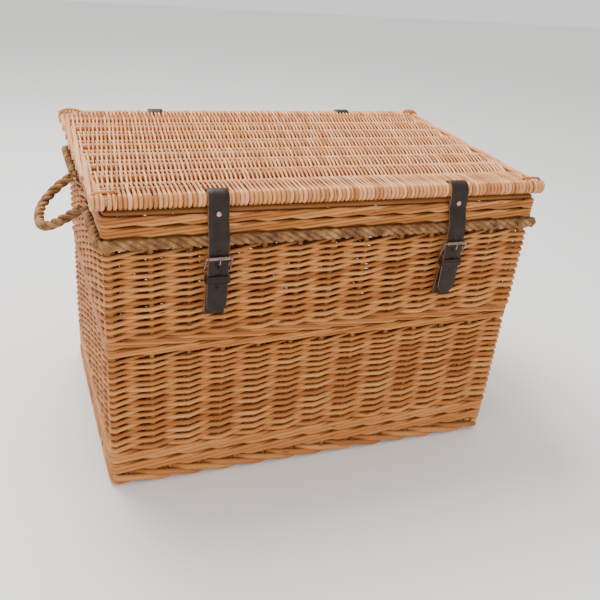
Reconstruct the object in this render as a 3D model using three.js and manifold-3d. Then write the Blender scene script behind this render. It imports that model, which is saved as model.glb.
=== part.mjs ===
// Wicker storage trunk: a tapered willow basket with a hinged woven lid, rope handles and
// two leather straps that buckle the lid down. Millimetres, +Z up, the front faces -Y and
// the origin is on the floor under the middle of the whole trunk.
import * as THREE from 'three';
import { mergeVertices } from 'three/addons/utils/BufferGeometryUtils.js';
import Module from 'manifold-3d';

const wasm = await Module();
wasm.setup();

// ---- Driving dimensions ----
const GAP = 0.3;                 // clearance between touching pieces
const SHIFT_Y = 1.9;             // moves the trunk so that its box is centred on the origin

// The basket wall, given at floor level: it leans outwards as it rises.
const BODY_Y = 0.2;              // middle of the basket from front to back
const HALF_X = 356.5;
const HALF_Y = 230;
const WALL = 18;
const CORNER_R = 14;
const BODY_TOP = 487;
const FLARE_X = 0.029;           // growth of the width from floor to rim
const FLARE_Y = 0.0217;          // growth of the depth from floor to rim

// Heights of the bands of weaving.
const FOOT_TOP = 26;
const BASE_WALE_TOP = 70;
const LOWER_TOP = 252;
const MIDDLE_TOP = 282;
const UPPER_TOP = 434.5;
const ROPE_Z = 443.2;
const TOP_WALE_BOTTOM = 452;
const TOP_WALE_TOP = 478.5;
const FOOT_PROUD = 4;

// Upright stakes and corner posts inside the wall.
const STAKE = 8;
const STAKE_PITCH_X = 57;
const STAKES_X = 11;
const STAKE_PITCH_Y = 56;
const STAKES_Y = 7;
const STAKE_FOOT = 30;
const CHANNEL_GAP = 0.5;         // between a stake and the channel that it runs in
const POST_R = 5;
const POST_INSET = 10.5;
const BORDER_REACH = 20;         // how far the rim runs past its last stake

// Base slab.
const BASE_BOTTOM = 6;
const BASE_TOP = 25;
const STICK_R = 5;
const BASE_STICK_PITCH = 120;
const STICK_TURN = 0.25;         // turns a stick's six flats off the level

// Rope.
const ROPE_R = 8;
const ROPE_CORNER_R = 10;
const ROPE_END = 89;             // half the gap in the band where a handle leaves it
const HANDLE_AXIS_X = 372.5;
const HANDLE_DROOP = 35;         // degrees below level

// Lid.
const LID_HALF_X = 379.5;
const LID_FRONT_BAR_Y = -223;
const LID_BACK_BAR_Y = 239.4;
const BAR_Z = 504.2;
const BAR_R = 13.8;
const LID_WEAVE_BOTTOM = 494;
const LID_WEAVE_TOP = 513;
const LID_WEAVE_HALF_X = 357.7;
const LID_WEAVE_GAP = 17;        // from a bar's centre to the edge of the weave
const LID_STICKS = 8;
const LID_STICK_FIRST = -173.8;
const LID_STICK_PITCH = 55.8;

// Leather and buckles.
const LEATHER = 2.2;
const STRAP_WIDTH = 32;
const STRAP_X = { left: -197, right: 208 };
const STRAP_FOLD_Z = 480;        // where the strap flexes below its rivet
const STRAP_END_Z = 328;
const HOLE_R = 1.9;
const HOLES_Z = [430, 389, 371];
const PRONG_HOLE = { z: 406.8, r: 3.5 };
const RIVET_HEAD_R = 4.4;
const RIVET_SHANK_R = 1.9;
const HINGE_X = 198;
const HINGE_WIDTH = 27;
const HEEL = { y: -242.5, z: 396 };
const ROLLER = { y: -254.4, z: 421, r: 2.8, bore: 2.1, half: 17 };
const WIRE = 2.6;
const FRAME_SIDE = 3.8;
const FRAME_HALF_X = 21.2;

// ---- Materials ----
const finish = (color, roughness, metalness = 0) =>
  new THREE.MeshStandardMaterial({ color, roughness, metalness });
const MATERIALS = {
  willow: () => finish('#c8965f', 0.6),
  willowPale: () => finish('#e3b48f', 0.55),
  willowCore: () => finish('#b98c58', 0.7),
  rope: () => finish('#94743f', 0.9),
  leather: () => finish('#3c302a', 0.5),
  nickel: () => finish('#8f8079', 0.35, 0.9),
  copper: () => finish('#b98f7c', 0.35, 0.9),
};

const trunk = new THREE.Group();
trunk.position.y = SHIFT_Y;
function add(name, geometry, material) {
  const mesh = new THREE.Mesh(geometry, MATERIALS[material]());
  mesh.name = name;
  trunk.add(mesh);
}

// ---- Joining and cutting ----
function solidOf(geometry) {
  const bare = geometry.clone();
  bare.deleteAttribute('normal');
  bare.deleteAttribute('uv');
  const merged = mergeVertices(bare, 1e-4);
  return new wasm.Manifold(new wasm.Mesh({
    numProp: 3,
    vertProperties: new Float32Array(merged.attributes.position.array),
    triVerts: new Uint32Array(merged.index.array),
  }));
}
function geometryOf(solid) {
  const mesh = solid.getMesh();
  const geometry = new THREE.BufferGeometry();
  geometry.setAttribute('position', new THREE.BufferAttribute(mesh.vertProperties, 3));
  geometry.setIndex(new THREE.BufferAttribute(mesh.triVerts, 1));
  return geometry;
}
const cut = (geometry, tools) =>
  geometryOf(tools.reduce((solid, tool) => solid.subtract(solidOf(tool)), solidOf(geometry)));

// ---- Extrusions in the three directions ----
const X = new THREE.Vector3(1, 0, 0);
const Y = new THREE.Vector3(0, 1, 0);
const Z = new THREE.Vector3(0, 0, 1);
const extruded = (shape, depth) =>
  new THREE.ExtrudeGeometry(shape, { depth, bevelEnabled: false, curveSegments: 3 });

// A plan outline (x, y) raised from z0 to z1.
const raised = (shape, z0, z1) => extruded(shape, z1 - z0).translate(0, 0, z0);
// A side outline (y, z) carried along x, centred on x = middle.
const carried = (shape, width, middle = 0) =>
  extruded(shape, width)
    .applyMatrix4(new THREE.Matrix4().makeBasis(Y, Z, X))
    .translate(middle - width / 2, 0, 0);
// A front outline (x, z) carried along y, centred on y = middle.
const deepened = (shape, depth, middle) =>
  extruded(shape, depth)
    .applyMatrix4(new THREE.Matrix4().makeBasis(X, Z, Y.clone().negate()))
    .translate(0, middle + depth / 2, 0);
const box = (x0, x1, y0, y1, z0, z1) =>
  new THREE.BoxGeometry(x1 - x0, y1 - y0, z1 - z0)
    .translate((x0 + x1) / 2, (y0 + y1) / 2, (z0 + z1) / 2);

// The lean of the wall: every point moves outwards in proportion to its height.
function flared(geometry) {
  const place = geometry.attributes.position;
  for (let i = 0; i < place.count; i += 1) {
    const rise = place.getZ(i) / BODY_TOP;
    place.setX(i, place.getX(i) * (1 + FLARE_X * rise));
    place.setY(i, BODY_Y + (place.getY(i) - BODY_Y) * (1 + FLARE_Y * rise));
  }
  return geometry;
}

// ---- Outlines ----
function roundedRectangle(target, halfX, halfY, radius) {
  const cx = halfX - radius;
  const cy = halfY - radius;
  target.absarc(cx, BODY_Y + cy, radius, 0, Math.PI / 2, false);
  target.absarc(-cx, BODY_Y + cy, radius, Math.PI / 2, Math.PI, false);
  target.absarc(-cx, BODY_Y - cy, radius, Math.PI, 1.5 * Math.PI, false);
  target.absarc(cx, BODY_Y - cy, radius, 1.5 * Math.PI, 2 * Math.PI, false);
  target.closePath();
  return target;
}
function polygon(cx, cy, radius, sides, turn = 0) {
  return Array.from({ length: sides }, (_, i) => {
    const angle = turn + (2 * Math.PI * i) / sides;
    return new THREE.Vector2(cx + radius * Math.cos(angle), cy + radius * Math.sin(angle));
  });
}
// The outline of a band of even thickness that follows a line of points.
function ribbon(points, thickness) {
  const line = points.map(([u, v]) => new THREE.Vector2(u, v));
  const offset = (side) => line.map((point, i) => {
    const before = point.clone().sub(line[Math.max(i - 1, 0)]).normalize();
    const after = line[Math.min(i + 1, line.length - 1)].clone().sub(point).normalize();
    const along = before.clone().add(after).normalize();
    const reach = before.lengthSq() && after.lengthSq() ? along.dot(after) : 1;
    const normal = new THREE.Vector2(-along.y, along.x);
    return point.clone().addScaledVector(normal, (side * thickness) / 2 / reach);
  });
  return new THREE.Shape([...offset(1), ...offset(-1).reverse()]);
}
function arc(cy, cz, radius, from, to, steps) {
  return Array.from({ length: steps + 1 }, (_, i) => {
    const angle = THREE.MathUtils.degToRad(from + ((to - from) * i) / steps);
    return [cy + radius * Math.cos(angle), cz + radius * Math.sin(angle)];
  });
}

// ---- Stake places ----
const middles = (count, pitch) =>
  Array.from({ length: count }, (_, i) => (i - (count - 1) / 2) * pitch);
const stakeXs = middles(STAKES_X, STAKE_PITCH_X);
const stakeYs = middles(STAKES_Y, STAKE_PITCH_Y).map((y) => BODY_Y + y);
const stakeLineX = HALF_X - WALL / 2;
const stakeLineY = HALF_Y - WALL / 2;
const postX = HALF_X - POST_INSET;
const postY = HALF_Y - POST_INSET;
const corners = [
  ['front_left', -1, -1],
  ['front_right', 1, -1],
  ['back_left', -1, 1],
  ['back_right', 1, 1],
];

// ---- Basket wall ----
// One band of weaving all round, with a channel for every stake and corner post.
function weaveBand(z0, z1, proud = 0, channels = true) {
  const shape = roundedRectangle(new THREE.Shape(), HALF_X + proud, HALF_Y + proud, CORNER_R);
  shape.holes.push(roundedRectangle(new THREE.Path(), HALF_X - WALL, HALF_Y - WALL, 3));
  if (channels) {
    // Each channel is turned a hair more than the last, so that no two have edges in one line.
    const square = (x, y, half) => {
      const turn = Math.PI / 4 + 0.006 + shape.holes.length * 0.0004;
      shape.holes.push(new THREE.Path(polygon(x, y, half * Math.SQRT2, 4, turn)));
    };
    for (const side of [-1, 1]) {
      for (const x of stakeXs) square(x, BODY_Y + side * stakeLineY, STAKE / 2 + CHANNEL_GAP);
      for (const y of stakeYs) square(side * stakeLineX, y, STAKE / 2 + CHANNEL_GAP);
    }
    for (const [, sx, sy] of corners) {
      square(sx * postX, BODY_Y + sy * postY, POST_R + CHANNEL_GAP);
    }
  }
  return raised(shape, z0, z1);
}

// A row of stakes whose tips are laid down sideways into the rim.
function stakeRow(positions) {
  const half = STAKE / 2;
  const rim = TOP_WALE_TOP + GAP;
  const reach = BORDER_REACH;
  const first = positions[0] - reach;
  const last = positions[positions.length - 1] + reach;
  const teeth = positions.flatMap((p) => [
    [p - half, rim], [p - half, STAKE_FOOT], [p + half, STAKE_FOOT], [p + half, rim],
  ]);
  const outline = [[first, rim], ...teeth, [last, rim], [last, BODY_TOP], [first, BODY_TOP]];
  return new THREE.Shape(outline.map(([u, v]) => new THREE.Vector2(u, v)));
}

add('foot_border', flared(weaveBand(0, FOOT_TOP, FOOT_PROUD, false)), 'willow');
add('base_wale', flared(weaveBand(FOOT_TOP + GAP, BASE_WALE_TOP)), 'willow');
add('lower_weave', flared(weaveBand(BASE_WALE_TOP + GAP, LOWER_TOP)), 'willow');
add('middle_wale', flared(weaveBand(LOWER_TOP + GAP, MIDDLE_TOP)), 'willow');
add('top_wale', flared(weaveBand(TOP_WALE_BOTTOM, TOP_WALE_TOP)), 'willow');

// The upper weave has two slots behind each buckle, where the buckle strap goes through it.
const BUCKLE_STRAP_SLOTS_Z = [320.5, 391];
const SLOT_OVERRUN = 8;
const slotHalf = LEATHER / 2 + 0.5;
const slots = Object.values(STRAP_X).flatMap((x) => BUCKLE_STRAP_SLOTS_Z.map((z) => box(
  x - STRAP_WIDTH / 2 - 0.4, x + STRAP_WIDTH / 2 + 0.4,
  BODY_Y - HALF_Y - SLOT_OVERRUN, BODY_Y - HALF_Y + WALL + SLOT_OVERRUN,
  z - slotHalf, z + slotHalf,
)));
add('upper_weave', cut(flared(weaveBand(MIDDLE_TOP + GAP, UPPER_TOP)), slots), 'willow');

add('stakes_front', flared(deepened(stakeRow(stakeXs), STAKE, BODY_Y - stakeLineY)), 'willowCore');
add('stakes_back', flared(deepened(stakeRow(stakeXs), STAKE, BODY_Y + stakeLineY)), 'willowCore');
add('stakes_left', flared(carried(stakeRow(stakeYs), STAKE, -stakeLineX)), 'willowCore');
add('stakes_right', flared(carried(stakeRow(stakeYs), STAKE, stakeLineX)), 'willowCore');
for (const [name, sx, sy] of corners) {
  const outline = new THREE.Shape(polygon(sx * postX, BODY_Y + sy * postY, POST_R, 8));
  add(`corner_post_${name}`, flared(raised(outline, STAKE_FOOT, BODY_TOP)), 'willowCore');
}

// ---- Base ----
const baseOutline = new THREE.Shape();
const baseMiddle = (BASE_BOTTOM + BASE_TOP) / 2;
const baseHalfY = HALF_Y - WALL - 0.4;
baseOutline.moveTo(BODY_Y - baseHalfY, BASE_BOTTOM);
baseOutline.lineTo(BODY_Y + baseHalfY, BASE_BOTTOM);
baseOutline.lineTo(BODY_Y + baseHalfY, BASE_TOP);
baseOutline.lineTo(BODY_Y - baseHalfY, BASE_TOP);
const baseStickYs = middles(3, BASE_STICK_PITCH).map((y) => BODY_Y + y);
for (const y of baseStickYs) {
  baseOutline.holes.push(new THREE.Path(polygon(y, baseMiddle, STICK_R + 0.4, 6, STICK_TURN)));
}
const baseWidth = 2 * (HALF_X - WALL - 0.4);
const BASE_CORNER = 4;           // the slab's corners clear the rounded inner corners
const baseCorners = corners.map(([, sx, sy]) => box(
  sx * baseWidth / 2 - BASE_CORNER, sx * baseWidth / 2 + BASE_CORNER,
  BODY_Y + sy * baseHalfY - BASE_CORNER, BODY_Y + sy * baseHalfY + BASE_CORNER,
  0, BASE_TOP + 1,
));
add('base_weave', flared(cut(carried(baseOutline, baseWidth), baseCorners)), 'willow');
baseStickYs.forEach((y, i) => {
  const stick = new THREE.Shape(polygon(y, baseMiddle, STICK_R, 6, STICK_TURN));
  add(`base_stick_${i + 1}`, carried(stick, baseWidth - 2), 'willowCore');
});

// ---- Rope band and handles ----
// Half of the band in plan: it leaves one handle, runs round two corners and reaches the other.
function ropeBand(side) {
  const lineX = stakeLineX + STAKE / 2 + GAP + ROPE_R;
  const lineY = stakeLineY + STAKE / 2 + GAP + ROPE_R;
  const cx = lineX - ROPE_CORNER_R;
  const cy = BODY_Y + side * (lineY - ROPE_CORNER_R);
  const end = BODY_Y + side * ROPE_END;
  const shape = new THREE.Shape();
  const turn = (side * Math.PI) / 2;
  const outer = ROPE_CORNER_R + ROPE_R;
  const inner = ROPE_CORNER_R - ROPE_R;
  const clockwise = side < 0;
  shape.moveTo(lineX + ROPE_R, end);
  shape.absarc(cx, cy, outer, 0, turn, clockwise);
  shape.absarc(-cx, cy, outer, turn, Math.PI * side, clockwise);
  shape.lineTo(-lineX - ROPE_R, end);
  shape.lineTo(-lineX + ROPE_R, end);
  shape.absarc(-cx, cy, inner, Math.PI * side, turn, !clockwise);
  shape.absarc(cx, cy, inner, turn, 0, !clockwise);
  shape.lineTo(lineX - ROPE_R, end);
  const chamfer = ROPE_R * (2 - Math.SQRT2);
  const band = new THREE.ExtrudeGeometry(shape, {
    depth: 2 * (ROPE_R - chamfer), curveSegments: 3, bevelSegments: 1,
    bevelThickness: chamfer, bevelSize: chamfer, bevelOffset: -chamfer,
  });
  return flared(band.translate(0, 0, ROPE_Z - ROPE_R + chamfer));
}
add('rope_front', ropeBand(-1), 'rope');
add('rope_back', ropeBand(1), 'rope');

// A handle is a drooping loop of the same rope: (along the wall, out from the wall).
const HANDLE_LOOP = [
  [78, 4], [76, 26], [63, 50], [38, 69], [2, 77], [-38, 75], [-62, 58], [-73, 32], [-80, 4],
];
function ropeHandle(side) {
  const droop = THREE.MathUtils.degToRad(HANDLE_DROOP);
  const route = HANDLE_LOOP.map(([along, out]) => new THREE.Vector3(
    side * (HANDLE_AXIS_X + out * Math.cos(droop)),
    BODY_Y + along,
    ROPE_Z - out * Math.sin(droop),
  ));
  return new THREE.ExtrudeGeometry(new THREE.Shape(polygon(0, 0, ROPE_R, 8)), {
    steps: 30, bevelEnabled: false, extrudePath: new THREE.CatmullRomCurve3(route),
  });
}
add('handle_left', ropeHandle(-1), 'rope');
add('handle_right', ropeHandle(1), 'rope');

// ---- Lid ----
const bar = (y) =>
  carried(new THREE.Shape(polygon(y, BAR_Z, BAR_R, 12, Math.PI / 12)), 2 * LID_HALF_X);
add('lid_front_bar', bar(LID_FRONT_BAR_Y), 'willowPale');
add('lid_back_bar', bar(LID_BACK_BAR_Y), 'willowPale');

const lidStickYs = Array.from({ length: LID_STICKS }, (_, i) => LID_STICK_FIRST + i * LID_STICK_PITCH);
const lidMiddle = (LID_WEAVE_BOTTOM + LID_WEAVE_TOP) / 2;
const lidOutline = new THREE.Shape();
const lidWeaveFront = LID_FRONT_BAR_Y + LID_WEAVE_GAP;
const lidWeaveBack = LID_BACK_BAR_Y - LID_WEAVE_GAP;
lidOutline.moveTo(lidWeaveFront, LID_WEAVE_BOTTOM);
lidOutline.lineTo(lidWeaveBack, LID_WEAVE_BOTTOM);
lidOutline.lineTo(lidWeaveBack, LID_WEAVE_TOP);
lidOutline.lineTo(lidWeaveFront, LID_WEAVE_TOP);
for (const y of lidStickYs) {
  lidOutline.holes.push(new THREE.Path(polygon(y, lidMiddle, STICK_R + 0.4, 6, STICK_TURN)));
}
add('lid_weave', carried(lidOutline, 2 * LID_WEAVE_HALF_X), 'willowPale');
lidStickYs.forEach((y, i) => {
  const stick = new THREE.Shape(polygon(y, lidMiddle, STICK_R, 6, STICK_TURN));
  add(`lid_stick_${i + 1}`, carried(stick, 2 * LID_WEAVE_HALF_X), 'willowCore');
});
const LID_END_BOTTOM = 491;
const LID_END_TOP = 517;
for (const [name, side] of [['left', -1], ['right', 1]]) {
  const xs = [side * (LID_WEAVE_HALF_X + GAP), side * LID_HALF_X].sort((a, b) => a - b);
  const front = LID_FRONT_BAR_Y + BAR_R + GAP;
  const back = LID_BACK_BAR_Y - BAR_R - GAP;
  add(`lid_end_${name}`, box(...xs, front, back, LID_END_BOTTOM, LID_END_TOP), 'willowPale');
}

// ---- Rivets: a domed head outside and a shank through the leather, facing +1 back, -1 front ----
function rivet(x, y, z, shank, facing) {
  const profile = [
    [0, -shank], [RIVET_SHANK_R, -shank], [RIVET_SHANK_R, 0],
    [RIVET_HEAD_R, 0], [RIVET_HEAD_R, 0.6], [2.4, 1.9], [0, 2.2],
  ].map(([r, h]) => new THREE.Vector2(r, h));
  return new THREE.LatheGeometry(profile, 10)
    .rotateX(facing < 0 ? Math.PI : 0)
    .translate(x, y, z);
}
// A round hole through leather, along y.
const HOLE_LENGTH = 14;
const hole = (x, y, z, radius) =>
  new THREE.CylinderGeometry(radius, radius, HOLE_LENGTH, 10).translate(x, y, z);

// ---- Hinges: a leather strap round the back bar, riveted to the back wall ----
const HINGE_RIVET_Z = 465;
const LEAF_BOTTOM = 455;
const LEAF_TOP = 486.5;
const leafY = BODY_Y + HALF_Y + 0.4 + LEATHER / 2;
const rivetRise = HINGE_RIVET_Z / BODY_TOP;
const leafFace = BODY_Y + (leafY + LEATHER / 2 - BODY_Y) * (1 + FLARE_Y * rivetRise);
for (const [name, side] of [['left', -1], ['right', 1]]) {
  const x = side * HINGE_X;
  const rivetX = x * (1 + FLARE_X * rivetRise);
  const loop = arc(LID_BACK_BAR_Y, BAR_Z, BAR_R + 0.35 + LEATHER / 2, 190, -35, 12);
  const leaf = flared(box(
    x - HINGE_WIDTH / 2, x + HINGE_WIDTH / 2,
    leafY - LEATHER / 2, leafY + LEATHER / 2, LEAF_BOTTOM, LEAF_TOP,
  ));
  const bore = hole(rivetX, leafFace, HINGE_RIVET_Z, RIVET_SHANK_R + GAP);
  add(`hinge_${name}_loop`, carried(ribbon(loop, LEATHER), HINGE_WIDTH, x), 'leather');
  add(`hinge_${name}_leaf`, cut(leaf, [bore]), 'leather');
  add(`hinge_${name}_rivet`, rivet(rivetX, leafFace + GAP, HINGE_RIVET_Z, LEATHER, 1), 'copper');
}

// ---- Straps and buckles, drawn from the side as (y, z) lines ----
const STRAP_RIVET_Z = 486;
const FRONT_LEAF_Y = -239.1;
const BACK_LEAF_Y = FRONT_LEAF_Y + LEATHER + GAP;
const LOOP_LINE_R = BAR_R + 0.35 + LEATHER / 2;
const strapLoopLine = [
  [FRONT_LEAF_Y, STRAP_FOLD_Z + 1.4],
  [FRONT_LEAF_Y, 490],
  ...arc(LID_FRONT_BAR_Y, BAR_Z, LOOP_LINE_R, 180, -125, 14),
  [BACK_LEAF_Y, 489],
  [BACK_LEAF_Y, STRAP_FOLD_Z + 1.4],
];
const strapLine = [
  [FRONT_LEAF_Y, STRAP_FOLD_Z - 1.4], [-241.5, 468], [-248.1, 450], [-248.3, 436],
  [-249.2, 424], [-248.9, 396], [-248.2, 346], [-248, STRAP_END_Z],
];
// The buckle strap: round the heel bar, down the outside, through the wall and up inside it.
const SLOT_LOW = BUCKLE_STRAP_SLOTS_Z[0];
const SLOT_HIGH = BUCKLE_STRAP_SLOTS_Z[1];
const INSIDE_Y = BODY_Y - HALF_Y + WALL;
const FOLD_R = ROLLER.bore + LEATHER / 2 + 0.1;
const buckleStrapLine = [
  [INSIDE_Y + 0.6, SLOT_HIGH],
  [-236.8, SLOT_HIGH],
  [-238.4, SLOT_HIGH + 2.6],
  ...arc(HEEL.y, HEEL.z, FOLD_R, -15, 195, 8),
  [-235.6, SLOT_LOW + 7],
  [-235.4, SLOT_LOW],
  [INSIDE_Y + 1.9, SLOT_LOW],
  [INSIDE_Y + 1.9, SLOT_HIGH - LEATHER - 0.6],
];
// The prong: a curl round the heel bar, up behind the strap, through it and onto the roller.
const PRONG = 1.9;
const PRONG_WIDTH = 3.4;
const prongLine = [
  ...arc(HEEL.y, HEEL.z, ROLLER.bore + PRONG / 2 + 0.1, 80, -180, 8),
  [HEEL.y - 3.2, 402.6],
  [HEEL.y - 4.6, 405.6],
  [HEEL.y - 6.5, 407],
  [HEEL.y - 10.5, 408.2],
  [HEEL.y - 14, 411],
  [HEEL.y - 16.1, 416],
  [HEEL.y - 16.1, 421.5],
];
const KEEPER = { z0: 379, z1: 389.6, front: -251.2, back: -240.6, wall: 2 };
function rectangle(target, x0, x1, y0, y1) {
  target.setFromPoints([[x0, y0], [x1, y0], [x1, y1], [x0, y1]]
    .map(([u, v]) => new THREE.Vector2(u, v)));
  return target;
}
// The frame lies in its own plane, from the heel bar up to the roller bar.
const frameRise = Math.hypot(ROLLER.z - HEEL.z, ROLLER.y - HEEL.y);
const frameTilt = Math.atan2(HEEL.y - ROLLER.y, ROLLER.z - HEEL.z);
function buckleFrame(x) {
  const half = WIRE / 2;
  const shape = rectangle(new THREE.Shape(), -FRAME_HALF_X, FRAME_HALF_X, -half, frameRise + half);
  const side = FRAME_HALF_X - FRAME_SIDE;
  shape.holes.push(rectangle(new THREE.Path(), -side, side, half, frameRise - half));
  return deepened(shape, WIRE, 0).rotateX(frameTilt).translate(x, HEEL.y, HEEL.z);
}
function roller(x) {
  const { r, bore, half } = ROLLER;
  const profile = [[bore, -half], [r, -half], [r, half], [bore, half], [bore, -half]]
    .map(([u, v]) => new THREE.Vector2(u, v));
  return new THREE.LatheGeometry(profile, 12).rotateZ(Math.PI / 2).translate(x, ROLLER.y, ROLLER.z);
}
for (const [name, x] of Object.entries(STRAP_X)) {
  const half = STRAP_WIDTH / 2;
  const loop = carried(ribbon(strapLoopLine, LEATHER), STRAP_WIDTH, x);
  const loopBore = hole(x, FRONT_LEAF_Y, STRAP_RIVET_Z, RIVET_SHANK_R + GAP);
  add(`strap_${name}_loop`, cut(loop, [loopBore]), 'leather');
  const shank = 2 * LEATHER + GAP;
  const head = FRONT_LEAF_Y - LEATHER / 2 - GAP;
  add(`strap_${name}_rivet`, rivet(x, head, STRAP_RIVET_Z, shank, -1), 'copper');

  const middle = strapLine[4][0];
  const holes = HOLES_Z.map((z) => hole(x, middle, z, HOLE_R));
  const tip = new THREE.Shape();
  tip.moveTo(x - half - 1, STRAP_END_Z - 2);
  tip.lineTo(x + half + 1, STRAP_END_Z - 2);
  tip.lineTo(x + half + 1, STRAP_END_Z + half);
  tip.lineTo(x + half, STRAP_END_Z + half);
  tip.absarc(x, STRAP_END_Z + half, half, 0, Math.PI, true);
  tip.lineTo(x - half - 1, STRAP_END_Z + half);
  const tipCut = new THREE.ExtrudeGeometry(tip, { depth: 20, bevelEnabled: false, curveSegments: 8 })
    .applyMatrix4(new THREE.Matrix4().makeBasis(X, Z, Y.clone().negate()))
    .translate(0, middle + 10, 0);
  const prongHole = hole(x, middle, PRONG_HOLE.z, PRONG_HOLE.r);
  const strap = carried(ribbon(strapLine, LEATHER), STRAP_WIDTH, x);
  add(`strap_${name}`, cut(strap, [...holes, prongHole, tipCut]), 'leather');

  const prongSlot = box(x - 2.4, x + 2.4, HEEL.y - 6, HEEL.y + 5.4, HEEL.z - 5.4, HEEL.z + 6);
  const buckleStrap = carried(ribbon(buckleStrapLine, LEATHER), STRAP_WIDTH, x);
  add(`buckle_strap_${name}`, cut(buckleStrap, [prongSlot]), 'leather');
  const insideFace = INSIDE_Y + 1.9 + LEATHER / 2 + GAP;
  add(`buckle_rivet_${name}`, rivet(x, insideFace, 350, 0.2, 1), 'copper');

  const ring = rectangle(new THREE.Shape(), x - half - 2.8, x + half + 2.8,
    KEEPER.front - KEEPER.wall, KEEPER.back + KEEPER.wall);
  ring.holes.push(rectangle(new THREE.Path(), x - half - 0.8, x + half + 0.8,
    KEEPER.front, KEEPER.back));
  add(`keeper_${name}`, raised(ring, KEEPER.z0, KEEPER.z1), 'leather');
  add(`buckle_frame_${name}`, buckleFrame(x), 'nickel');
  add(`roller_${name}`, roller(x), 'nickel');
  add(`prong_${name}`, carried(ribbon(prongLine, PRONG), PRONG_WIDTH, x), 'nickel');
}

export default trunk;
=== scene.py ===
"""The looks of a wicker storage trunk: willow weave, rope handles, leather straps and buckles.

Lengths are written in millimetres and turned into metres as each mesh is made. The front faces -Y.
"""
import math

import bpy
import numpy as np
from mathutils import Matrix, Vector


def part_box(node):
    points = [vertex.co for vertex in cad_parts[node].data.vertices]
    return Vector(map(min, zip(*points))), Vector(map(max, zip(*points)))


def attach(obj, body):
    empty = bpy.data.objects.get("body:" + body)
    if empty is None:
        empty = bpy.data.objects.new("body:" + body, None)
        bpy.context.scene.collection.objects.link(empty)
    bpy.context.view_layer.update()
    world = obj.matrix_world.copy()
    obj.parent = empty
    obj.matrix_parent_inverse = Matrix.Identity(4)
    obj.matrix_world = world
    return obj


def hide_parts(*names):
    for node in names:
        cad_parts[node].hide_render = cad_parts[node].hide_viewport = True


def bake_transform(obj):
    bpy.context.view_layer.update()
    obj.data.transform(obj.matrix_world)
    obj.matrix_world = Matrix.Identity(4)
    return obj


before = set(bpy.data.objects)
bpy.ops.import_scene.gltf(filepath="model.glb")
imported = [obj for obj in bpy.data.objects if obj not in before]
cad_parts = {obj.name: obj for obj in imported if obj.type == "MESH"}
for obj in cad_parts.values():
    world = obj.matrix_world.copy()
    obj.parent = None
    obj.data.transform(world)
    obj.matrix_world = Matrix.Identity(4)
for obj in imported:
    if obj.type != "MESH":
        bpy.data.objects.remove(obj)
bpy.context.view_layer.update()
rng = np.random.default_rng(20)
MM = 0.001

# ---- Camera: from the left of the front and above it, with a slight roll ----
BEARING, ELEVATION, ROLL = math.radians(-22.98), math.radians(26.8), math.radians(5.8)
EYE = (-0.4910, -1.2641, 0.8950)  # metres
LENS, SENSOR = 46.53, 36
back = np.array([math.sin(BEARING) * math.cos(ELEVATION),
                 -math.cos(BEARING) * math.cos(ELEVATION), math.sin(ELEVATION)])
level = np.cross(-back, (0, 0, 1))
level /= np.linalg.norm(level)
upward = np.cross(level, -back)
right = math.cos(ROLL) * level + math.sin(ROLL) * upward
top = math.cos(ROLL) * upward - math.sin(ROLL) * level
camera_data = bpy.data.cameras.new("camera")
camera_data.sensor_width = SENSOR
camera_data.lens = LENS
camera = bpy.data.objects.new("camera", camera_data)
bpy.context.collection.objects.link(camera)
camera.matrix_world = Matrix([
    [right[0], top[0], back[0], EYE[0]],
    [right[1], top[1], back[1], EYE[1]],
    [right[2], top[2], back[2], EYE[2]],
    [0, 0, 0, 1],
])
bpy.context.scene.camera = camera

# ---- Sizes, as in the CAD model ----
BODY_Y = 2.1                      # the wall's middle, from front to back
STAKE_LINE = (347.5, 221.0)       # half sizes of the line that the stakes stand on
POST = (346.0, 219.5)             # and of the line of the corner posts
FRONT_STAKES, FRONT_PITCH = 11, 57
SIDE_STAKES, SIDE_PITCH = 7, 56
STAKE_R, POST_R = 4.4, 6.0
RIM_Z, FLARE = 487, (0.029, 0.0217)  # the rim's height, and how much wider the wall is there
# Each band of the wall, from its foot to its head.
BASE_WALE, LOWER_WEAVE, MIDDLE_WALE = (26.5, 70), (70.3, 252), (252.3, 282)
UPPER_WEAVE, TOP_WALE = (282.3, 434.5), (452, 485)
ROPE_Z, ROPE_R = 443.2, 8.0
BAR_Z, FRONT_BAR_Y, BACK_BAR_Y = 504.2, -221.1, 241.3
STICK_GAP = 55.8
STICK_YS, STICK_Z = -171.9 + STICK_GAP * np.arange(8), 503.5
LID_HALF, LID_END_X = 379, 368.8  # half the bars' length, and the middle of an end border


# ---- Curves and meshes ----
def unit(vectors):
    """Vectors brought to length one."""
    return vectors / np.linalg.norm(vectors, axis=-1, keepdims=True)


def spline(points, steps, closed=False):
    """A Catmull-Rom curve: each span is a cubic that leaves a point parallel to its neighbours' chord."""
    p = np.asarray(points, float)
    if closed:
        around_all, spans = np.concatenate([p[-1:], p, p[:2]]), len(p)
    else:
        around_all = np.concatenate([2 * p[:1] - p[1:2], p, 2 * p[-1:] - p[-2:-1]])
        spans = len(p) - 1
    a, b, c, d = (around_all[k:k + spans, None] for k in range(4))
    t = (np.arange(steps) / steps)[None, :, None]
    curve = 0.5 * (2 * b + (c - a) * t + (2 * a - 5 * b + 4 * c - d) * t ** 2
                   + (3 * b - a - 3 * c + d) * t ** 3)
    curve = curve.reshape(-1, p.shape[1])
    return curve if closed else np.concatenate([curve, p[-1:]])


def arc(cy, cz, radius, start, end, count):
    """Points of a circle's arc, seen from the side as (y, z), between two angles in degrees."""
    angle = np.radians(np.linspace(start, end, count))
    return np.stack([cy + radius * np.cos(angle), cz + radius * np.sin(angle)], axis=1)


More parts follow.
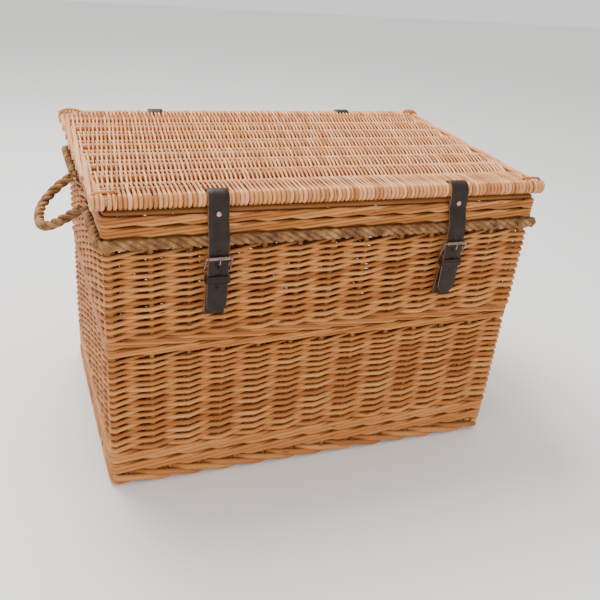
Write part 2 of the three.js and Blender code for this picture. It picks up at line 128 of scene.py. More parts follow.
def swept(path, section, up, closed=False, tone=0.5, edge=()):
    """A section carried along a path. Each ring is the path's point plus the section's two
    measures along the sideways and upright directions there; quads join ring to ring. The UV map
    holds the run along the path in metres and the share of the way round. The sides listed in
    edge take the second material, and so do the two flat ends of such a shape."""
    n, m = len(path), section.shape[-2]
    along = np.roll(path, -1, 0) - np.roll(path, 1, 0) if closed else np.gradient(path, axis=0)
    along = unit(along)
    side = unit(np.cross(along, up))
    normal = np.cross(side, along)
    section = np.broadcast_to(section, (n, m, 2))
    points = path[:, None] + section[..., :1] * side[:, None] + section[..., 1:] * normal[:, None]
    spans = n if closed else n - 1
    i, j = np.meshgrid(np.arange(spans), np.arange(m), indexing="ij")
    i, j, i2, j2 = i.ravel(), j.ravel(), ((i + 1) % n).ravel(), ((j + 1) % m).ravel()
    quads = np.stack([i * m + j, i2 * m + j, i2 * m + j2, i * m + j2], axis=1)
    steps = np.linalg.norm(np.diff(path, axis=0, append=path[:1]), axis=1)
    length = np.concatenate([[0], np.cumsum(steps)]) * MM
    u0, u1, v0, v1 = length[i], length[i + 1], j / m, (j + 1) / m
    uv = np.stack([np.stack(c, axis=1) for c in ((u0, v0), (u1, v0), (u1, v1), (u0, v1))], axis=1)
    kinds = np.isin(j, edge).astype(np.int32)
    groups = [(quads, uv, kinds, True)]
    if not closed:
        ends = np.stack([np.arange(m), (n - 1) * m + np.arange(m)[::-1]])
        cap_kind = np.full(2, 1 if len(edge) else 0, np.int32)
        groups.append((ends, np.broadcast_to(circle(m, 3 * MM), (2, m, 2)), cap_kind, False))
    return {"points": points.reshape(-1, 3), "groups": groups, "tone": tone}


def circle(sides, radius=1.0):
    """Points of a circle: the cosine and sine of evenly spaced angles, times the radius."""
    angle = np.arange(sides) * 2 * np.pi / sides
    return np.stack([np.cos(angle), np.sin(angle)], axis=1) * radius


def rod(path, radius, sides=8, up=(0, 0, 1), closed=False, tone=None):
    """A round rod: circles of the rod's radius, which may change from point to point, along its path."""
    radius = np.broadcast_to(radius, (len(path),))
    tone = rng.random() if tone is None else tone
    return swept(path, radius[:, None, None] * circle(sides), up, closed, tone)


def piece(name, body, nodes, shapes, materials):
    """One object from many shapes, riding on a body and standing for some CAD nodes."""
    counts = [len(s["points"]) for s in shapes]
    starts = np.concatenate([[0], np.cumsum(counts)[:-1]])
    points = np.concatenate([s["points"] for s in shapes]) * MM
    loops, totals, uvs, kinds, smooth = [], [], [], [], []
    for start, shape in zip(starts, shapes):
        for faces, uv, kind, is_smooth in shape["groups"]:
            loops.append((faces + start).ravel())
            totals.append(np.full(len(faces), faces.shape[1]))
            uvs.append(np.asarray(uv).reshape(-1))
            kinds.append(kind)
            smooth.append(np.full(len(faces), is_smooth))
    loops, totals = np.concatenate(loops), np.concatenate(totals)
    mesh = bpy.data.meshes.new(name)
    mesh.vertices.add(len(points))
    mesh.vertices.foreach_set("co", points.astype(np.float32).ravel())
    mesh.loops.add(len(loops))
    mesh.loops.foreach_set("vertex_index", loops.astype(np.int32))
    mesh.polygons.add(len(totals))
    mesh.polygons.foreach_set("loop_start", np.concatenate([[0], np.cumsum(totals)[:-1]]).astype(np.int32))
    mesh.polygons.foreach_set("use_smooth", np.concatenate(smooth))
    mesh.polygons.foreach_set("material_index", np.concatenate(kinds))
    mesh.uv_layers.new(name="UVMap").data.foreach_set("uv", np.concatenate(uvs).astype(np.float32))
    tone = mesh.attributes.new("tone", "FLOAT", "POINT")
    tone.data.foreach_set("value", np.repeat([s["tone"] for s in shapes], counts).astype(np.float32))
    mesh.update(calc_edges=True)
    mesh.validate()
    obj = bpy.data.objects.new(name, mesh)
    bpy.context.collection.objects.link(obj)
    for material in materials:
        mesh.materials.append(material)
    if body:
        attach(obj, body)
    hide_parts(*nodes)
    return obj


# ---- Materials ----
def linear(code):
    """A hex colour turned from sRGB to linear light."""
    srgb = np.array([int(code[k:k + 2], 16) for k in (1, 3, 5)]) / 255
    value = np.where(srgb <= 0.04045, srgb / 12.92, ((srgb + 0.055) / 1.055) ** 2.4)
    return (*value, 1.0)


def add(tree, kind, inputs=None, **settings):
    """Adds one shader node: settings are its own, inputs are values or (node, output) links."""
    node = tree.nodes.new("ShaderNode" + kind)
    for key, value in settings.items():
        setattr(node, key, value)
    for key, value in (inputs or {}).items():
        if isinstance(value, tuple) and isinstance(value[0], bpy.types.Node):
            tree.links.new(value[0].outputs[value[1]], node.inputs[key])
        else:
            node.inputs[key].default_value = value
    return node


def ramp(tree, factor, stops):
    """Colours run together in order of a factor."""
    node = add(tree, "ValToRGB", {"Fac": factor})
    while len(node.color_ramp.elements) < len(stops):
        node.color_ramp.elements.new(0.5)
    for element, (place, colour) in zip(node.color_ramp.elements, stops):
        element.position = place
        element.color = linear(colour)
    return node


def new_material(name, **sockets):
    """A Principled surface with its constant sockets set; gives the material, its tree and shader."""
    material = bpy.data.materials.new(name)
    material.use_nodes = True
    tree = material.node_tree
    shader = tree.nodes["Principled BSDF"]
    for key, value in sockets.items():
        shader.inputs[key.replace("_", " ")].default_value = value
    return material, tree, shader


def bump(tree, shader, height, distance, strength):
    """Raises the surface by a pattern's height, over a distance in metres."""
    node = add(tree, "Bump", {"Height": height, "Distance": distance, "Strength": strength})
    tree.links.new(node.outputs[0], shader.inputs["Normal"])


def willow(name, stops, roughness, coat):
    """Peeled willow rods, satin varnished: long grain along each rod, each rod its own tone,
    and here and there the darker blush and bud scars that the bark leaves."""
    material, tree, shader = new_material(name, Roughness=roughness, Coat_Weight=coat, Coat_Roughness=0.25,
                                          Specular_IOR_Level=0.25)
    uv = add(tree, "UVMap", uv_map="UVMap")
    tone = add(tree, "Attribute", attribute_name="tone")
    shift = add(tree, "CombineXYZ", {"Z": (tone, "Fac")})
    spread = add(tree, "VectorMath", {0: (shift, 0), 1: (1, 1, 40)}, operation="MULTIPLY")
    place = add(tree, "VectorMath", {0: (uv, 0), 1: (spread, 0)}, operation="ADD")
    grain_at = add(tree, "VectorMath", {0: (place, 0), 1: (45, 9, 3)}, operation="MULTIPLY")
    grain = add(tree, "TexNoise", {"Vector": (grain_at, 0), "Scale": 1.0, "Detail": 3.0})
    patch_at = add(tree, "VectorMath", {0: (place, 0), 1: (9, 0.8, 3)}, operation="MULTIPLY")
    patch = add(tree, "TexNoise", {"Vector": (patch_at, 0), "Scale": 1.0, "Detail": 2.0})
    scar_at = add(tree, "VectorMath", {0: (place, 0), 1: (16, 2.2, 3)}, operation="MULTIPLY")
    scar = add(tree, "TexVoronoi", {"Vector": (scar_at, 0), "Scale": 1.0})
    mixed = add(tree, "Math", {0: (patch, "Fac"), 1: (tone, "Fac")}, operation="ADD")
    half = add(tree, "Math", {0: (mixed, 0), 1: 0.55, 2: -0.05}, operation="MULTIPLY_ADD")
    base = ramp(tree, (half, 0), stops)
    streak = ramp(tree, (grain, "Fac"), [(0.3, "#d9cdbf"), (0.62, "#ffffff")])
    grained = add(tree, "MixRGB", {"Fac": 0.55, "Color1": (base, 0), "Color2": (streak, 0)},
                  blend_type="MULTIPLY")
    mark = ramp(tree, (scar, "Distance"), [(0.05, "#ffffff"), (0.14, "#000000")])
    scarred = add(tree, "MixRGB", {"Fac": (mark, 0), "Color1": (grained, 0), "Color2": linear("#5f2f14")})
    tree.links.new(scarred.outputs[0], shader.inputs["Base Color"])
    bump(tree, shader, (grain, "Fac"), 0.0003, 0.5)
    return material


def rope_yarn():
    """Laid sisal or jute: fine yarns that lie slanted across each strand, with loose dull hairs, and the
    grooves between the yarns painted darker as painted shade.
    """
    material, tree, shader = new_material("rope_laid_jute", Roughness=0.85)
    uv = add(tree, "UVMap", uv_map="UVMap")
    stretched = add(tree, "Mapping", {"Vector": (uv, 0), "Scale": (60, 1, 1)})
    apart = add(tree, "SeparateXYZ", {0: (stretched, 0)})
    turns = add(tree, "Math", {0: (apart, 1), 1: 14.0, 2: (apart, 0)}, operation="MULTIPLY_ADD")
    wave = add(tree, "Math", {0: (turns, 0), 1: 6.2832}, operation="MULTIPLY")
    yarn = add(tree, "Math", {0: (wave, 0)}, operation="SINE")
    object_at = add(tree, "TexCoord")
    fuzz = add(tree, "TexNoise", {"Vector": (object_at, "Object"), "Scale": 900.0, "Detail": 4.0})
    blotch = add(tree, "TexNoise", {"Vector": (object_at, "Object"), "Scale": 60.0, "Detail": 3.0})
    base = ramp(tree, (blotch, "Fac"), [(0.3, "#6d4826"), (0.5, "#a0703e"), (0.72, "#c99b62")])
    lift = add(tree, "Math", {0: (yarn, 0), 1: 0.25, 2: (fuzz, "Fac")}, operation="MULTIPLY_ADD")
    # The fine noise gives the hairs' own dull colour; the sine troughs are painted shade in the grooves
    # between the yarns.
    painted_groove_shade = ramp(tree, (lift, 0), [(0.2, "#6b4c32"), (0.7, "#ffffff")])
    colour = add(tree, "MixRGB", {"Fac": 0.75, "Color1": (base, 0), "Color2": (painted_groove_shade, 0)},
                 blend_type="MULTIPLY")
    tree.links.new(colour.outputs[0], shader.inputs["Base Color"])
    bump(tree, shader, (lift, 0), 0.0006, 0.8)
    return material


def leather(name, dark, light, roughness):
    """Dyed strap leather: a tight pebble grain, with the dye rubbed paler in patches."""
    material, tree, shader = new_material(name, Roughness=roughness, Specular_IOR_Level=0.3)
    object_at = add(tree, "TexCoord")
    pebble = add(tree, "TexVoronoi", {"Vector": (object_at, "Object"), "Scale": 1100.0})
    crease = add(tree, "TexNoise", {"Vector": (object_at, "Object"), "Scale": 260.0, "Detail": 5.0})
    wear = add(tree, "TexNoise", {"Vector": (object_at, "Object"), "Scale": 45.0, "Detail": 4.0})
    base = ramp(tree, (wear, "Fac"), [(0.35, dark), (0.7, light)])
    tree.links.new(base.outputs[0], shader.inputs["Base Color"])
    height = add(tree, "Math", {0: (crease, "Fac"), 1: 0.8, 2: (pebble, "Distance")},
                 operation="MULTIPLY_ADD")
    bump(tree, shader, (height, 0), 0.0003, 0.45)
    return material


def metal(name, dark, light, roughness):
    """Plated wire or a stamped head: bright metal with small dull marks from handling."""
    material, tree, shader = new_material(name, Metallic=1.0)
    object_at = add(tree, "TexCoord")
    tarnish = add(tree, "TexNoise", {"Vector": (object_at, "Object"), "Scale": 220.0, "Detail": 4.0})
    base = ramp(tree, (tarnish, "Fac"), [(0.35, dark), (0.6, light)])
    tree.links.new(base.outputs[0], shader.inputs["Base Color"])
    rough = add(tree, "MapRange", {"Value": (tarnish, "Fac"), "To Min": roughness, "To Max": roughness + 0.2})
    tree.links.new(rough.outputs[0], shader.inputs["Roughness"])
    return material


# Wall rods: buff willow, boiled before peeling, a warm ochre brown with little shine.
WALL_WILLOW = willow("willow_wall_rods", [(0.12, "#8c4f22"), (0.35, "#b37036"), (0.6, "#c48346"),
                                          (0.85, "#cf955b")], 0.5, 0.0)
# Lid rods: the same willow under a thin varnish. Its colours are painted paler and pinker, as painted light
# where the overhead light falls on the lid's top.
LID_WILLOW_PAINTED_LIT = willow("willow_lid_rods_painted_lit", [(0.12, "#a5622f"), (0.35, "#cc874b"), (0.6, "#de9b62"),
                                        (0.85, "#ecb585")], 0.36, 0.35)
# Stakes: thick butts of older rods, painted darker as painted shade for the shade they stand in behind the
# weave.
STAKE_WILLOW_PAINTED_SHADE = willow("willow_stakes_painted_shade", [(0.15, "#6d3e17"), (0.5, "#935d2a"), (0.85, "#ab7439")], 0.5, 0.1)
ROPE = rope_yarn()
# Straps: leather dyed nearly black, whose cut edges keep the tan of the hide.
LEATHER_FACE = leather("leather_dark_brown_strap", "#160d08", "#2c1c12", 0.5)
LEATHER_EDGE = leather("leather_cut_tan_edge", "#6a4228", "#8f6240", 0.7)
# Buckles: nickel plate dulled to a warm grey. Rivets: tumbled copper, a soft pink shine.
NICKEL = metal("metal_nickel_plated_wire", "#6d5850", "#a48e84", 0.25)
COPPER = metal("metal_copper_rivet", "#9a7462", "#d0ab95", 0.28)

# ---- Walls: places round the body, counted in stakes from the front left corner post ----
front_x = (np.arange(FRONT_STAKES) - (FRONT_STAKES - 1) / 2) * FRONT_PITCH
side_y = (np.arange(SIDE_STAKES) - (SIDE_STAKES - 1) / 2) * SIDE_PITCH
walls = [  # each wall's corner post, then its stakes, with the wall's outward direction
    ((-POST[0], -POST[1]), [(x, -STAKE_LINE[1]) for x in front_x], (0, -1)),
    ((POST[0], -POST[1]), [(STAKE_LINE[0], y) for y in side_y], (1, 0)),
    ((POST[0], POST[1]), [(-x, STAKE_LINE[1]) for x in front_x], (0, 1)),
    ((-POST[0], POST[1]), [(-STAKE_LINE[0], -y) for y in side_y], (-1, 0)),
]
PLATEAU = 0.25                    # share of a pitch on each side of a post where a rod turns
TURN_SHARE = 0.08                 # how much of the stake count passes by on each side of a post
STAKE_SHIFT = 3                   # a stake stands up to this far from its even place
knots, stakes, posts = [], [], []
count = 0
for number, (post, inner, outward) in enumerate(walls):
    before = walls[number - 1][2]
    knots.append((count - PLATEAU, *post, *before, count - TURN_SHARE))
    knots.append((count + PLATEAU, *post, *outward, count + TURN_SHARE))
    posts.append((*post, count))
    for k, (x, y) in enumerate(inner):
        shift = rng.uniform(-STAKE_SHIFT, STAKE_SHIFT)
        x, y = x + shift * abs(outward[1]), y + shift * abs(outward[0])
        knots.append((count + 1 + k, x, y, *outward, count + 1 + k))
        stakes.append((x, y))
    count += 1 + len(inner)
UPRIGHTS = count
knots = np.array(knots)
tail = knots[:2] + np.array([count, 0, 0, 0, 0, count])
knots = np.concatenate([knots, tail])
knots[0, 0] -= 1e-9


def flared(points):
    """The walls lean out evenly with height."""
    z = points[:, 2:]
    grow = 1 + z / RIM_Z * np.array([FLARE])
    return np.hstack([points[:, :2] * grow + (0, BODY_Y), z])


def counted(s):
    """The stake count as a rod feels it: it dwells at a corner post while the rod turns."""
    turns = np.floor((s + PLATEAU) / UPRIGHTS)
    return np.interp(s - turns * UPRIGHTS, knots[:, 0], knots[:, 5]) + turns * UPRIGHTS


def around(s, offset, z):
    """A path round the walls: s counts stakes, offset is how far out of the stakes' line it lies."""
    s_in = (s + PLATEAU) % UPRIGHTS - PLATEAU
    x, y, nx, ny = (np.interp(s_in, knots[:, 0], knots[:, k]) for k in (1, 2, 3, 4))
    out = unit(np.stack([nx, ny], axis=1))
    return flared(np.column_stack([x + out[:, 0] * offset, y + out[:, 1] * offset, z]))


def cyclic(values, phase, ease=1.0):
    """Passes through the values, one to a stake, over and over. With ease 1 it slows down at each
    value, as a cosine does, and with ease 0 it runs straight from each to the next."""
    values = np.asarray(values, float)
    k = np.floor(phase).astype(int)
    t = phase - k
    t = ease * (1 - np.cos(np.pi * t)) / 2 + (1 - ease) * t
    return values[k % len(values)] * (1 - t) + values[(k + 1) % len(values)] * t


def wander(s, size):
    """A slow random rise and fall: one random value to each stake, eased between them."""
    values = rng.normal(0, size, int(s[-1] - s[0]) + 3)
    return cyclic(values, s - s[0])


SAMPLES = 8                       # rings from one stake to the next
BITE = 0.6                        # how far a rod presses into a stake
POST_COUNTS = np.array([n[2] for n in posts])


def reach(sigma, radius):
    """How far out a rod goes to pass a stake, and a little further at the thicker posts."""
    near = np.abs((sigma[:, None] - POST_COUNTS + UPRIGHTS / 2) % UPRIGHTS - UPRIGHTS / 2).min(1)
    return radius - BITE + STAKE_R + (POST_R - STAKE_R) * np.clip(1 - near, 0, 1)


def fill_share(sigma):
    """A rod's radius as a share of the row pitch: the back and right walls are packed tighter."""
    s = sigma % UPRIGHTS
    return np.interp(s, [0, 11, 13, 19, 21, 31, 33, UPRIGHTS],
                     [0.575, 0.575, 0.74, 0.74, 0.82, 0.82, 0.62, 0.575])


def randing(z0, z1, low_pitch, high_pitch):
    """Plain weave: each rod goes before one stake and behind the next, and climbs as it goes.
    Rods start thick at the foot of the band and end thin at its head, so the rows close up."""
    rows = 2 * (z1 - z0) / (low_pitch + high_pitch)
    shapes = []
    for j in range(UPRIGHTS):
        last = j + int((rows + 0.4) // 2) * 2
        s = np.linspace(j - 1, last - 1, (last - j) * SAMPLES + 1)
        sigma = counted(s)
        row = np.clip(sigma - j, -0.35, rows - 0.65) + 0.5
        pitch = low_pitch + (high_pitch - low_pitch) * row / rows
        z = z0 + low_pitch * row + (high_pitch - low_pitch) * row ** 2 / (2 * rows)
        radius = fill_share(sigma) * pitch * rng.uniform(0.95, 1.05)
        weave = cyclic([1, -1], sigma - j, ease=0.3) * reach(sigma, radius)
        shapes.append(rod(around(s, weave, z + wander(s, 0.35)), radius))
    return shapes


def waling(z0, z1, rounds, radius):
    """Waling: each round has four rods, and each passes before three stakes and behind the fourth.
    Outside, a stroke climbs from the foot of the round to its head, or falls where the lean is -1."""
    shapes = []
    height = (z1 - z0) / len(rounds)
    for number, lean in enumerate(rounds):
        middle = z0 + height * (number + 0.5)
        span = (height / 2 - radius) * lean
        outs, rises = [-1, 1, 1, 1], [0, -span, 0, span]
        for q in range(4):
            s = np.linspace(0, UPRIGHTS, UPRIGHTS * SAMPLES, endpoint=False)
            sigma = counted(s)
            phase = sigma - q - number
            z = middle + cyclic(rises, phase, ease=0.0)
            thick = radius * rng.uniform(0.97, 1.05)
            offset = cyclic(outs, phase) * reach(sigma, thick)
            shapes.append(rod(around(s, offset, z), thick, closed=True))
    return shapes


def hoop(out, z, radius):
    """A rod that runs level round all four walls."""
    s = np.linspace(0, UPRIGHTS, UPRIGHTS * SAMPLES, endpoint=False)
    return rod(around(s, np.full(len(s), out), np.full(len(s), z)), radius, closed=True)


def border(z_high, z_low, radius):
    """Stake ends laid over as a border: each comes out high, lies before the next and tucks in low."""
    shapes = []
    for i in range(UPRIGHTS):
        line = spline([
            (i - 0.42, -6.0, z_high - 1), (i - 0.12, 3.0, z_high), (i + 0.25, 8.6, z_high - 0.5),
            (i + 0.85, 8.4, (z_high + z_low) / 2), (i + 1.2, 5.6, z_low + 0.6),
            (i + 1.45, 1.0, z_low), (i + 1.75, -6.5, z_low + 1.5)], 5)
        taper = np.linspace(1.06, 0.9, len(line))
        shapes.append(rod(around(line[:, 0], line[:, 1], line[:, 2]), radius * taper, sides=9))
    return shapes


# Level rods inside the waling bands close the slits that show from within.
piece("weave_foot_border", "trunk", ["foot_border"], border(17.5, 5.9, 5.3), [WALL_WILLOW])
piece("weave_base_wale", "trunk", ["base_wale"],
      waling(*BASE_WALE, [1, 1], 3.75) + [hoop(-7.6, z, 3.5) for z in np.linspace(21, 74, 9)],
      [WALL_WILLOW])
piece("weave_lower_wall", "trunk", ["lower_weave"],
      randing(*LOWER_WEAVE, 7.0, 4.9), [WALL_WILLOW])
piece("weave_middle_wale", "trunk", ["middle_wale"],
      waling(*MIDDLE_WALE, [1, -1], 2.75) + [hoop(-7.2, z, 3.1) for z in np.linspace(249.5, 285.5, 7)],
      [WALL_WILLOW])
piece("weave_upper_wall", "trunk", ["upper_weave"],
      randing(*UPPER_WEAVE, 6.3, 4.9), [WALL_WILLOW])
piece("weave_top_wale", "trunk", ["top_wale"],
      waling(*TOP_WALE, [1, 1], 2.85), [WALL_WILLOW])


def upright(x, y, low, high, radius):
    """A stake: a rod that stands on the base and leans out with the wall, a little crooked."""
    z = np.linspace(low, high, 14)
    drift = cyclic(rng.normal(0, 0.35, 15), np.arange(14.0))
    path = flared(np.column_stack([x + drift, y + drift[::-1], z]))
    return rod(path, radius, up=(1, 0, 0))


# Level rods that finish the rim, line the top wale and lie behind the rope, as (out, height).
RIM_RODS = ((-5.2, 485), (3, 488.2), (-2.4, 488), (-7.4, 477), (-7.3, 470), (-7.4, 463), (-7.5, 437.4),
            (-7.3, 443.6), (-7.5, 449.8), (-7.3, 456))
BYE_GAP, BYE_R = 7.4, 3.4         # a bye-stake's distance from its stake, and its radius
rim = [hoop(out, z, 3.2) for out, z in RIM_RODS]
# Stakes, posts, bye-stakes and rim rods all take the stakes' willow, painted darker as painted shade.
piece("stakes_of_the_walls", "trunk",
      ["stakes_front", "stakes_back", "stakes_left", "stakes_right", "corner_post_front_left",
       "corner_post_front_right", "corner_post_back_left", "corner_post_back_right"],
      [upright(x, y, 22, 483, STAKE_R) for x, y in stakes]
      # Bye-stakes: a thinner rod is pushed in on each side of a stake of the back and right walls.
      + [upright(x + side * BYE_GAP * (y > 200), y + side * BYE_GAP * (y < 200), 24, 480, BYE_R)
         for x, y in stakes if y > 200 or x > 300 for side in (-1, 1)]
      + [upright(x, y, 14, 484, POST_R) for x, y, _ in posts] + rim, [STAKE_WILLOW_PAINTED_SHADE])

# ---- Base: sticks from end to end, with rods woven over and under them ----
BASE_Z, BASE_GAP, BASE_HALF = 15.5, 60, (346, 220)
base_sticks = BODY_Y + BASE_GAP * np.arange(-3.0, 4.0)
base = [rod(np.column_stack([np.linspace(-BASE_HALF[0], BASE_HALF[0], 20), np.full(20, y),
                             np.full(20, BASE_Z)]), 4.6) for y in base_sticks]
for k, x in enumerate(np.arange(-332, 333, 8.3)):
    y = np.linspace(BODY_Y - BASE_HALF[1], BODY_Y + BASE_HALF[1], 61)
    wave = 7.9 * np.cos(np.pi * ((y - base_sticks[0]) / BASE_GAP + k))
    base.append(rod(np.column_stack([np.full(61, x), y, BASE_Z + wave]), 3.5, sides=6, up=(1, 0, 0)))
piece("weave_base", "trunk", ["base_weave", "base_stick_1", "base_stick_2", "base_stick_3"],
      base, [WALL_WILLOW])


# ---- Rope: a strand turns once in LAY, its centre STRAND_OUT from the rope's ----
LAY, STRAND_OUT, STRAND_R, ROPE_STEP = 48.0, 4.5, 3.95, 3.2


def laid(path):
    """Three strands laid round the path: each strand's centre turns once round it in every lay.
    Gives the strands and the path, stepped evenly."""
    step = np.linalg.norm(np.diff(path, axis=0), axis=1)
    count = int(step.sum() / ROPE_STEP)
    dense = np.linspace(0, step.sum(), count)
    run = np.concatenate([[0], np.cumsum(step)])
    path = np.stack([np.interp(dense, run, path[:, k]) for k in range(3)], axis=1)
    along = unit(np.gradient(path, axis=0))
    side = unit(np.cross(along, (0, 0, 1)))
    normal = np.cross(side, along)
    strands = []
    for k in range(3):
        turn = 2 * np.pi * (k / 3 - dense / LAY)
        centre = path + STRAND_OUT * (np.cos(turn)[:, None] * side + np.sin(turn)[:, None] * normal)
        strands.append(rod(centre, STRAND_R, sides=10, tone=0.5))
    return strands, path


def rope_band(side):
    """The rope's run round the front or back: straight along each wall and round both corners,
    turning outward at its ends, where the handles go on from it."""
    half_x, half_y, corner = 359.8, 233.3, 10.0
    angle = np.radians(np.linspace(0, 90, 7))
    right_corner = np.column_stack([half_x - corner + corner * np.cos(angle),
                                    half_y - corner + corner * np.sin(angle)])
    end = np.array([(half_x + 3.0, 87.6), (half_x + 1.0, 92), (half_x, 98), (half_x, 150)])
    half = np.vstack([end, right_corner, [(300, half_y), (150, half_y)]])
    line = np.vstack([half, [(0, half_y)], (half * (-1, 1))[::-1]])
    line = spline(line * (1, side), 8)
    return flared(np.column_stack([line, np.full(len(line), ROPE_Z)]))


for name, side in (("front", -1), ("back", 1)):
    strands, _ = laid(rope_band(side))
    piece(f"rope_laid_{name}", "trunk", [f"rope_{name}"], strands, [ROPE])

# A handle's loop, as (along the wall, out from its axis), and how far it hangs below level.
HANDLE_LOOP = np.array([(78, 4), (76, 26), (63, 50), (38, 69), (2, 77), (-38, 75), (-62, 58),
                        (-73, 32), (-80, 4)], float)
HANDLE_AXIS_X, HANDLE_DROOP = 372.5, math.radians(35)
for name, side in (("left", -1), ("right", 1)):
    route = spline(HANDLE_LOOP, 8)
    line = np.column_stack([side * (HANDLE_AXIS_X + route[:, 1] * math.cos(HANDLE_DROOP)),
                            BODY_Y + route[:, 0], ROPE_Z - route[:, 1] * math.sin(HANDLE_DROOP)])
    strands, centre = laid(line)
    handle = piece(f"rope_handle_{name}", f"handle_{name}", [f"handle_{name}"], strands, [ROPE])

# ---- Lid ----
# Thin rods run from the front bar to the back bar, over one stick and under the next, and drift one
# pitch to the right at each stick. Every other rod has a thick butt that wraps the bars.
WEAVER_PITCH, WEAVER_R, WRAP_R, WRAP_OUT = 3.55, 2.0, 3.4, 12.4
EDGE_X = 100 * WEAVER_PITCH
OVER, UNDER = 7.4, -7.0           # a rod's height from a stick's middle as it passes over or under
BUTT_BACK, BAR_TUCK = 23, 6       # where a butt leaves its bar, and how far in a thin rod ends
lid_rods = []
for k in range(-112, 104):
    wraps = k % 2
    front = arc(FRONT_BAR_Y, BAR_Z, WRAP_OUT - WRAP_R, -40, -262, 9 if wraps else 1)
    rear = arc(BACK_BAR_Y, BAR_Z, WRAP_OUT - WRAP_R, 82, -140, 9 if wraps else 1)
    if not wraps:
        front[0], rear[0] = (FRONT_BAR_Y + BAR_TUCK, BAR_Z - 1), (BACK_BAR_Y - BAR_TUCK, BAR_Z - 1)
    woven = [(FRONT_BAR_Y + BUTT_BACK, BAR_Z + (8 if wraps else -1))]
    for i, y in enumerate(STICK_YS):
        woven.append((y, STICK_Z + (OVER if (i + wraps) % 2 else UNDER)))
        woven.append((y + STICK_GAP / 2, STICK_Z + 0.5))
    woven[-1] = (BACK_BAR_Y - BUTT_BACK, BAR_Z + (7 if wraps else 0))
    turns = len(front)
    slots = np.concatenate([np.full(turns, -1.0), np.linspace(-0.5, 7.5, len(woven)), np.full(turns, 8.0)])
    x = (k + 1 + slots) * WEAVER_PITCH
    thick = np.full(len(x), WEAVER_R)
    if wraps:
        thick[:turns], thick[-turns:] = WRAP_R, WRAP_R
    inside = np.abs(x) <= EDGE_X + 1
    if inside.sum() < 4:          # too short a piece to weave
        continue
    line = spline(np.column_stack([x, np.vstack([front, woven, rear]), thick])[inside], 2)
    line[:, 0] += cyclic(rng.normal(0, 0.35, 12), np.linspace(0, 10.99, len(line)))
    lid_rods.append(rod(line[:, :3], line[:, 3] * rng.uniform(0.92, 1.02), sides=7, up=(1, 0, 0)))
# Two straight rods fill the edge at each end, one over each stick that the other goes under.
for x, rise in ((-360.4, 7.0), (-356.8, -7.0), (356.8, -7.0), (360.4, 7.0)):
    line = np.column_stack([np.full(10, x), np.r_[FRONT_BAR_Y + BAR_TUCK, STICK_YS, BACK_BAR_Y - BAR_TUCK],
                            np.r_[BAR_Z - 1, STICK_Z + rise * (-1.0) ** np.arange(8), BAR_Z - 1]])
    lid_rods.append(rod(spline(line, 6), 2.1, sides=7, up=(1, 0, 0)))
piece("lid_weave_rods", "lid", ["lid_weave"], lid_rods, [LID_WILLOW_PAINTED_LIT])


def level_rod(y, z, half, radius):
    """A straight rod from side to side of the lid, with a slight natural bend."""
    x = np.linspace(-half, half, 24)
    bend = cyclic(rng.normal(0, 0.3, 26), np.arange(24.0))
    return rod(np.column_stack([x, y + bend, z + bend[::-1] * 0.5]), radius, sides=12)


lid_sticks = [level_rod(y, STICK_Z, LID_HALF + 0.5, 5.0) for y in STICK_YS]
lid_sticks += [level_rod(y, BAR_Z, LID_HALF, 6.2) for y in (FRONT_BAR_Y, BACK_BAR_Y)]
piece("lid_sticks_and_bars", "lid",
      ["lid_front_bar", "lid_back_bar"] + [f"lid_stick_{k}" for k in range(1, 9)], lid_sticks, [LID_WILLOW_PAINTED_LIT])


def twist(x, low, high, count, spread, radius, lay):
    """An end border: rods that wind round one another along the edge of the lid, once in each lay."""
    y = np.linspace(low, high, 120)
    shapes = []
    for k in range(count):
        angle = 2 * np.pi * (y / lay + k / count) * math.copysign(1, x)
        path = np.column_stack([x + spread * np.cos(angle), y, BAR_Z + 0.3 + spread * np.sin(angle)])
        shapes.append(rod(path, radius, up=(1, 0, 0)))
    return shapes


# The corner rod: a thin one that comes up at the end of the bar, lies along it and tucks in.
# Its points are (distance from the lid's middle, distance in from the bar, height above it).
TUCK = spline([(378, 6, 0), (376, 4, 9), (368, 2, 14.2), (354, 2, 14.9), (342, 6, 13), (334, 13, 5)], 6)
END_WRAPS = (361.8, 368.6, 375.4)
for side, sign in (("left", -1), ("right", 1)):
    ends = twist(sign * LID_END_X, FRONT_BAR_Y + BAR_TUCK, BACK_BAR_Y - BAR_TUCK, 3, 5.0, 4.3, 400)
    for y, facing in ((FRONT_BAR_Y, 1), (BACK_BAR_Y, -1)):
        for x in END_WRAPS:
            wrap = arc(y, BAR_Z, WRAP_OUT - WRAP_R, 90 - facing * 130, 90 - facing * 352, 14)
            ends.append(rod(np.column_stack([np.full(14, sign * x), wrap]), WRAP_R, up=(1, 0, 0)))
        corner = TUCK * (sign, facing, 1) + (0, y, BAR_Z)
        ends.append(rod(corner, 2.4, up=(0, 1, 0)))
    piece(f"lid_end_border_{side}", "lid", [f"lid_end_{side}"], ends, [LID_WILLOW_PAINTED_LIT])

# ---- Leather and buckles: lines seen from the side are (y, z) ----
LEATHER, STRAP_WIDTH, HINGE_WIDTH = 2.2, 32.0, 27.0
STRAP_X = {"left": -197.0, "right": 208.0}
HINGE_X = {"left": -198.0, "right": 198.0}
LEAF_Y = -237.2                   # the strap's two leaves meet here under the front bar
LOOP_R = WRAP_OUT + 0.6 + LEATHER / 2
HEEL, HEAD = np.array([-240.6, 396.0]), np.array([-252.5, 421.0])  # a buckle's foot and head bars
STRAP_HOLES = ((430, 1.9), (389, 1.9), (371, 1.9), (406.8, 3.5))   # height and radius
KEEPER_Z = 384.3
RIVET_R, RIVET_HEIGHT = 4.3, 1.9
EDGE_SIDES = (3, 4, 5, 9, 10, 11)  # the sides of a strap's section that are cut edge


